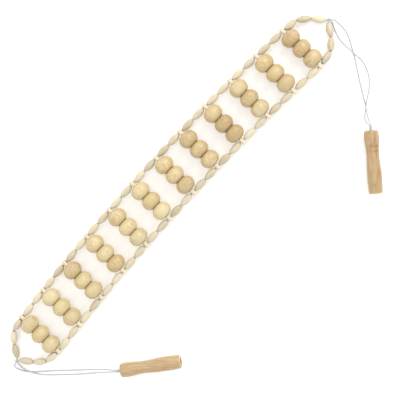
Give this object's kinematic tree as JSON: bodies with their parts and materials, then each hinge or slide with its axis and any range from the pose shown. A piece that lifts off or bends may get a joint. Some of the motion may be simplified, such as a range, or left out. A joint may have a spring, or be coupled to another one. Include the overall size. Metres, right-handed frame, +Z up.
{
  "type": "wooden roller massager",
  "caption": "Flexible strip of fat wooden rollers in rows, laced between two chains of olive beads, with a turned handle on a doubled cord at each end.",
  "frame": {"origin": "on the table, under the middle of the line that joins the centres of the two end rows", "axes": "+X along the strip towards its upper end, +Y to the strip's left side, +Z up from the table"},
  "size_m": [0.6326, 0.2537, 0.026],
  "materials": {
    "roller_wood": "satin, fine sanded, pale beech",
    "side_bead_wood": "satin, fine sanded, cream",
    "handle_wood": "satin, turned, straight grain",
    "cord": "white twisted cord"
  },
  "bodies": {
    "row_01": {"side_beads_row_01": "side_bead_wood"},
    "row_02": {"side_beads_row_02": "side_bead_wood"},
    "row_03": {"side_beads_row_03": "side_bead_wood"},
    "row_04": {"side_beads_row_04": "side_bead_wood"},
    "row_05": {"side_beads_row_05": "side_bead_wood"},
    "row_06": {"side_beads_row_06": "side_bead_wood", "lacing_cord_one": "cord", "lacing_cord_two": "cord"},
    "row_07": {"side_beads_row_07": "side_bead_wood"},
    "row_08": {"side_beads_row_08": "side_bead_wood"},
    "row_09": {"side_beads_row_09": "side_bead_wood"},
    "row_10": {"side_beads_row_10": "side_bead_wood"},
    "row_11": {"side_beads_row_11": "side_bead_wood"},
    "row_12": {"side_beads_row_12": "side_bead_wood"},
    "lower_loop": {"lower_loop_beads": "side_bead_wood"},
    "lower_apex": {"lower_apex_knot": "cord"},
    "lower_cord": {"lower_handle_cord": "cord"},
    "lower_cord_end": {"lower_stop_knot": "cord"},
    "lower_grip": {"lower_handle": "handle_wood"},
    "upper_loop": {"upper_loop_beads": "side_bead_wood"},
    "upper_apex": {"upper_apex_knot": "cord"},
    "upper_cord": {"upper_handle_cord": "cord"},
    "upper_cord_end": {"upper_stop_knot": "cord"},
    "upper_grip": {"upper_handle": "handle_wood"},
    "roller_01_left_body": {"roller_01_left": "roller_wood"},
    "roller_01_middle_body": {"roller_01_middle": "roller_wood"},
    "roller_01_right_body": {"roller_01_right": "roller_wood"},
    "roller_02_left_body": {"roller_02_left": "roller_wood"},
    "roller_02_middle_body": {"roller_02_middle": "roller_wood"},
    "roller_02_right_body": {"roller_02_right": "roller_wood"},
    "roller_03_left_body": {"roller_03_left": "roller_wood"},
    "roller_03_middle_body": {"roller_03_middle": "roller_wood"},
    "roller_03_right_body": {"roller_03_right": "roller_wood"},
    "roller_04_left_body": {"roller_04_left": "roller_wood"},
    "roller_04_middle_body": {"roller_04_middle": "roller_wood"},
    "roller_04_right_body": {"roller_04_right": "roller_wood"},
    "roller_05_left_body": {"roller_05_left": "roller_wood"},
    "roller_05_middle_body": {"roller_05_middle": "roller_wood"},
    "roller_05_right_body": {"roller_05_right": "roller_wood"},
    "roller_06_left_body": {"roller_06_left": "roller_wood"},
    "roller_06_middle_body": {"roller_06_middle": "roller_wood"},
    "roller_06_right_body": {"roller_06_right": "roller_wood"},
    "roller_07_left_body": {"roller_07_left": "roller_wood"},
    "roller_07_middle_body": {"roller_07_middle": "roller_wood"},
    "roller_07_right_body": {"roller_07_right": "roller_wood"},
    "roller_08_left_body": {"roller_08_left": "roller_wood"},
    "roller_08_middle_body": {"roller_08_middle": "roller_wood"},
    "roller_08_right_body": {"roller_08_right": "roller_wood"},
    "roller_09_left_body": {"roller_09_left": "roller_wood"},
    "roller_09_middle_body": {"roller_09_middle": "roller_wood"},
    "roller_09_right_body": {"roller_09_right": "roller_wood"},
    "roller_10_left_body": {"roller_10_left": "roller_wood"},
    "roller_10_middle_body": {"roller_10_middle": "roller_wood"},
    "roller_10_right_body": {"roller_10_right": "roller_wood"},
    "roller_11_left_body": {"roller_11_left": "roller_wood"},
    "roller_11_middle_body": {"roller_11_middle": "roller_wood"},
    "roller_11_right_body": {"roller_11_right": "roller_wood"},
    "roller_12_left_body": {"roller_12_left": "roller_wood"},
    "roller_12_middle_body": {"roller_12_middle": "roller_wood"},
    "roller_12_right_body": {"roller_12_right": "roller_wood"}
  },
  "joints": [
    {"name": "end_loop_fold_lower", "type": "hinge", "parent": "row_01", "child": "lower_loop", "pos_m": [-0.25795, 0, 0.013], "axis": [0, -1, 0], "range_deg": [-60, 40]},
    {"name": "cord_swing_lower", "type": "hinge", "parent": "lower_loop", "child": "lower_apex", "pos_m": [-0.30935, 0, 0.0048], "axis": [0, 0, 1], "range_deg": [-114, 5]},
    {"name": "cord_tilt_lower", "type": "hinge", "parent": "lower_apex", "child": "lower_cord", "pos_m": [-0.30935, 0, 0.0048], "axis": [0.783, 0.6221, 0], "range_deg": [-70, 35]},
    {"name": "handle_swing_lower", "type": "hinge", "parent": "lower_cord", "child": "lower_cord_end", "pos_m": [-0.221, -0.1112, 0.0099], "axis": [0, 0, 1], "range_deg": [-40, 40]},
    {"name": "handle_spin_lower", "type": "hinge", "parent": "lower_cord_end", "child": "lower_grip", "pos_m": [-0.221, -0.1112, 0.0099], "axis": [0.7902, -0.6129, 0], "continuous": true},
    {"name": "end_loop_fold_upper", "type": "hinge", "parent": "row_12", "child": "upper_loop", "pos_m": [0.25795, 0, 0.013], "axis": [0, 1, 0], "range_deg": [-60, 40]},
    {"name": "cord_swing_upper", "type": "hinge", "parent": "upper_loop", "child": "upper_apex", "pos_m": [0.30935, 0, 0.0048], "axis": [0, 0, 1], "range_deg": [-5, 114]},
    {"name": "cord_tilt_upper", "type": "hinge", "parent": "upper_apex", "child": "upper_cord", "pos_m": [0.30935, 0, 0.0048], "axis": [0.896, -0.4441, 0], "range_deg": [-70, 35]},
    {"name": "handle_swing_upper", "type": "hinge", "parent": "upper_cord", "child": "upper_cord_end", "pos_m": [0.2413, -0.1373, 0.0099], "axis": [0, 0, 1], "range_deg": [-40, 40]},
    {"name": "handle_spin_upper", "type": "hinge", "parent": "upper_cord_end", "child": "upper_grip", "pos_m": [0.2413, -0.1373, 0.0099], "axis": [-0.6756, -0.7373, 0], "continuous": true},
    {"name": "flex_rows_01_02", "type": "hinge", "parent": "row_02", "child": "row_01", "pos_m": [-0.2345, 0.00182, 0.013], "axis": [0, 1, 0], "range_deg": [-24, 24]},
    {"name": "flex_rows_02_03", "type": "hinge", "parent": "row_03", "child": "row_02", "pos_m": [-0.1876, 0.00509, 0.013], "axis": [0, 1, 0], "range_deg": [-24, 24]},
    {"name": "flex_rows_03_04", "type": "hinge", "parent": "row_04", "child": "row_03", "pos_m": [-0.1407, 0.00764, 0.013], "axis": [0, 1, 0], "range_deg": [-24, 24]},
    {"name": "flex_rows_04_05", "type": "hinge", "parent": "row_05", "child": "row_04", "pos_m": [-0.0938, 0.00945, 0.013], "axis": [0, 1, 0], "range_deg": [-24, 24]},
    {"name": "flex_rows_05_06", "type": "hinge", "parent": "row_06", "child": "row_05", "pos_m": [-0.0469, 0.01055, 0.013], "axis": [0, 1, 0], "range_deg": [-24, 24]},
    {"name": "flex_rows_06_07", "type": "hinge", "parent": "row_06", "child": "row_07", "pos_m": [0, 0.01091, 0.013], "axis": [0, -1, 0], "range_deg": [-24, 24], "deforming": ["lacing_cord_one", "lacing_cord_two"]},
    {"name": "flex_rows_07_08", "type": "hinge", "parent": "row_07", "child": "row_08", "pos_m": [0.0469, 0.01055, 0.013], "axis": [0, -1, 0], "range_deg": [-24, 24]},
    {"name": "flex_rows_08_09", "type": "hinge", "parent": "row_08", "child": "row_09", "pos_m": [0.0938, 0.00945, 0.013], "axis": [0, -1, 0], "range_deg": [-24, 24]},
    {"name": "flex_rows_09_10", "type": "hinge", "parent": "row_09", "child": "row_10", "pos_m": [0.1407, 0.00764, 0.013], "axis": [0, -1, 0], "range_deg": [-24, 24]},
    {"name": "flex_rows_10_11", "type": "hinge", "parent": "row_10", "child": "row_11", "pos_m": [0.1876, 0.00509, 0.013], "axis": [0, -1, 0], "range_deg": [-24, 24]},
    {"name": "flex_rows_11_12", "type": "hinge", "parent": "row_11", "child": "row_12", "pos_m": [0.2345, 0.00182, 0.013], "axis": [0, -1, 0], "range_deg": [-24, 24]},
    {"name": "roller_01_left_spin", "type": "hinge", "parent": "row_01", "child": "roller_01_left_body", "pos_m": [-0.25795, 0.0191, 0.013], "axis": [0, 1, 0], "continuous": true},
    {"name": "roller_01_middle_spin", "type": "hinge", "parent": "row_01", "child": "roller_01_middle_body", "pos_m": [-0.25795, 0, 0.013], "axis": [0, 1, 0], "continuous": true},
    {"name": "roller_01_right_spin", "type": "hinge", "parent": "row_01", "child": "roller_01_right_body", "pos_m": [-0.25795, -0.0191, 0.013], "axis": [0, 1, 0], "continuous": true},
    {"name": "roller_02_left_spin", "type": "hinge", "parent": "row_02", "child": "roller_02_left_body", "pos_m": [-0.21105, 0.02274, 0.013], "axis": [0, 1, 0], "continuous": true},
    {"name": "roller_02_middle_spin", "type": "hinge", "parent": "row_02", "child": "roller_02_middle_body", "pos_m": [-0.21105, 0.00364, 0.013], "axis": [0, 1, 0], "continuous": true},
    {"name": "roller_02_right_spin", "type": "hinge", "parent": "row_02", "child": "roller_02_right_body", "pos_m": [-0.21105, -0.01546, 0.013], "axis": [0, 1, 0], "continuous": true},
    {"name": "roller_03_left_spin", "type": "hinge", "parent": "row_03", "child": "roller_03_left_body", "pos_m": [-0.16415, 0.02565, 0.013], "axis": [0, 1, 0], "continuous": true},
    {"name": "roller_03_middle_spin", "type": "hinge", "parent": "row_03", "child": "roller_03_middle_body", "pos_m": [-0.16415, 0.00654, 0.013], "axis": [0, 1, 0], "continuous": true},
    {"name": "roller_03_right_spin", "type": "hinge", "parent": "row_03", "child": "roller_03_right_body", "pos_m": [-0.16415, -0.01256, 0.013], "axis": [0, 1, 0], "continuous": true},
    {"name": "roller_04_left_spin", "type": "hinge", "parent": "row_04", "child": "roller_04_left_body", "pos_m": [-0.11725, 0.02783, 0.013], "axis": [0, 1, 0], "continuous": true},
    {"name": "roller_04_middle_spin", "type": "hinge", "parent": "row_04", "child": "roller_04_middle_body", "pos_m": [-0.11725, 0.00873, 0.013], "axis": [0, 1, 0], "continuous": true},
    {"name": "roller_04_right_spin", "type": "hinge", "parent": "row_04", "child": "roller_04_right_body", "pos_m": [-0.11725, -0.01037, 0.013], "axis": [0, 1, 0], "continuous": true},
    {"name": "roller_05_left_spin", "type": "hinge", "parent": "row_05", "child": "roller_05_left_body", "pos_m": [-0.07035, 0.02928, 0.013], "axis": [0, 1, 0], "continuous": true},
    {"name": "roller_05_middle_spin", "type": "hinge", "parent": "row_05", "child": "roller_05_middle_body", "pos_m": [-0.07035, 0.01018, 0.013], "axis": [0, 1, 0], "continuous": true},
    {"name": "roller_05_right_spin", "type": "hinge", "parent": "row_05", "child": "roller_05_right_body", "pos_m": [-0.07035, -0.00892, 0.013], "axis": [0, 1, 0], "continuous": true},
    {"name": "roller_06_left_spin", "type": "hinge", "parent": "row_06", "child": "roller_06_left_body", "pos_m": [-0.02345, 0.03001, 0.013], "axis": [0, 1, 0], "continuous": true},
    {"name": "roller_06_middle_spin", "type": "hinge", "parent": "row_06", "child": "roller_06_middle_body", "pos_m": [-0.02345, 0.01091, 0.013], "axis": [0, 1, 0], "continuous": true},
    {"name": "roller_06_right_spin", "type": "hinge", "parent": "row_06", "child": "roller_06_right_body", "pos_m": [-0.02345, -0.00819, 0.013], "axis": [0, 1, 0], "continuous": true},
    {"name": "roller_07_left_spin", "type": "hinge", "parent": "row_07", "child": "roller_07_left_body", "pos_m": [0.02345, 0.03001, 0.013], "axis": [0, 1, 0], "continuous": true},
    {"name": "roller_07_middle_spin", "type": "hinge", "parent": "row_07", "child": "roller_07_middle_body", "pos_m": [0.02345, 0.01091, 0.013], "axis": [0, 1, 0], "continuous": true},
    {"name": "roller_07_right_spin", "type": "hinge", "parent": "row_07", "child": "roller_07_right_body", "pos_m": [0.02345, -0.00819, 0.013], "axis": [0, 1, 0], "continuous": true},
    {"name": "roller_08_left_spin", "type": "hinge", "parent": "row_08", "child": "roller_08_left_body", "pos_m": [0.07035, 0.02928, 0.013], "axis": [0, 1, 0], "continuous": true},
    {"name": "roller_08_middle_spin", "type": "hinge", "parent": "row_08", "child": "roller_08_middle_body", "pos_m": [0.07035, 0.01018, 0.013], "axis": [0, 1, 0], "continuous": true},
    {"name": "roller_08_right_spin", "type": "hinge", "parent": "row_08", "child": "roller_08_right_body", "pos_m": [0.07035, -0.00892, 0.013], "axis": [0, 1, 0], "continuous": true},
    {"name": "roller_09_left_spin", "type": "hinge", "parent": "row_09", "child": "roller_09_left_body", "pos_m": [0.11725, 0.02783, 0.013], "axis": [0, 1, 0], "continuous": true},
    {"name": "roller_09_middle_spin", "type": "hinge", "parent": "row_09", "child": "roller_09_middle_body", "pos_m": [0.11725, 0.00873, 0.013], "axis": [0, 1, 0], "continuous": true},
    {"name": "roller_09_right_spin", "type": "hinge", "parent": "row_09", "child": "roller_09_right_body", "pos_m": [0.11725, -0.01037, 0.013], "axis": [0, 1, 0], "continuous": true},
    {"name": "roller_10_left_spin", "type": "hinge", "parent": "row_10", "child": "roller_10_left_body", "pos_m": [0.16415, 0.02565, 0.013], "axis": [0, 1, 0], "continuous": true},
    {"name": "roller_10_middle_spin", "type": "hinge", "parent": "row_10", "child": "roller_10_middle_body", "pos_m": [0.16415, 0.00654, 0.013], "axis": [0, 1, 0], "continuous": true},
    {"name": "roller_10_right_spin", "type": "hinge", "parent": "row_10", "child": "roller_10_right_body", "pos_m": [0.16415, -0.01256, 0.013], "axis": [0, 1, 0], "continuous": true},
    {"name": "roller_11_left_spin", "type": "hinge", "parent": "row_11", "child": "roller_11_left_body", "pos_m": [0.21105, 0.02274, 0.013], "axis": [0, 1, 0], "continuous": true},
    {"name": "roller_11_middle_spin", "type": "hinge", "parent": "row_11", "child": "roller_11_middle_body", "pos_m": [0.21105, 0.00364, 0.013], "axis": [0, 1, 0], "continuous": true},
    {"name": "roller_11_right_spin", "type": "hinge", "parent": "row_11", "child": "roller_11_right_body", "pos_m": [0.21105, -0.01546, 0.013], "axis": [0, 1, 0], "continuous": true},
    {"name": "roller_12_left_spin", "type": "hinge", "parent": "row_12", "child": "roller_12_left_body", "pos_m": [0.25795, 0.0191, 0.013], "axis": [0, 1, 0], "continuous": true},
    {"name": "roller_12_middle_spin", "type": "hinge", "parent": "row_12", "child": "roller_12_middle_body", "pos_m": [0.25795, 0, 0.013], "axis": [0, 1, 0], "continuous": true},
    {"name": "roller_12_right_spin", "type": "hinge", "parent": "row_12", "child": "roller_12_right_body", "pos_m": [0.25795, -0.0191, 0.013], "axis": [0, 1, 0], "continuous": true}
  ]
}
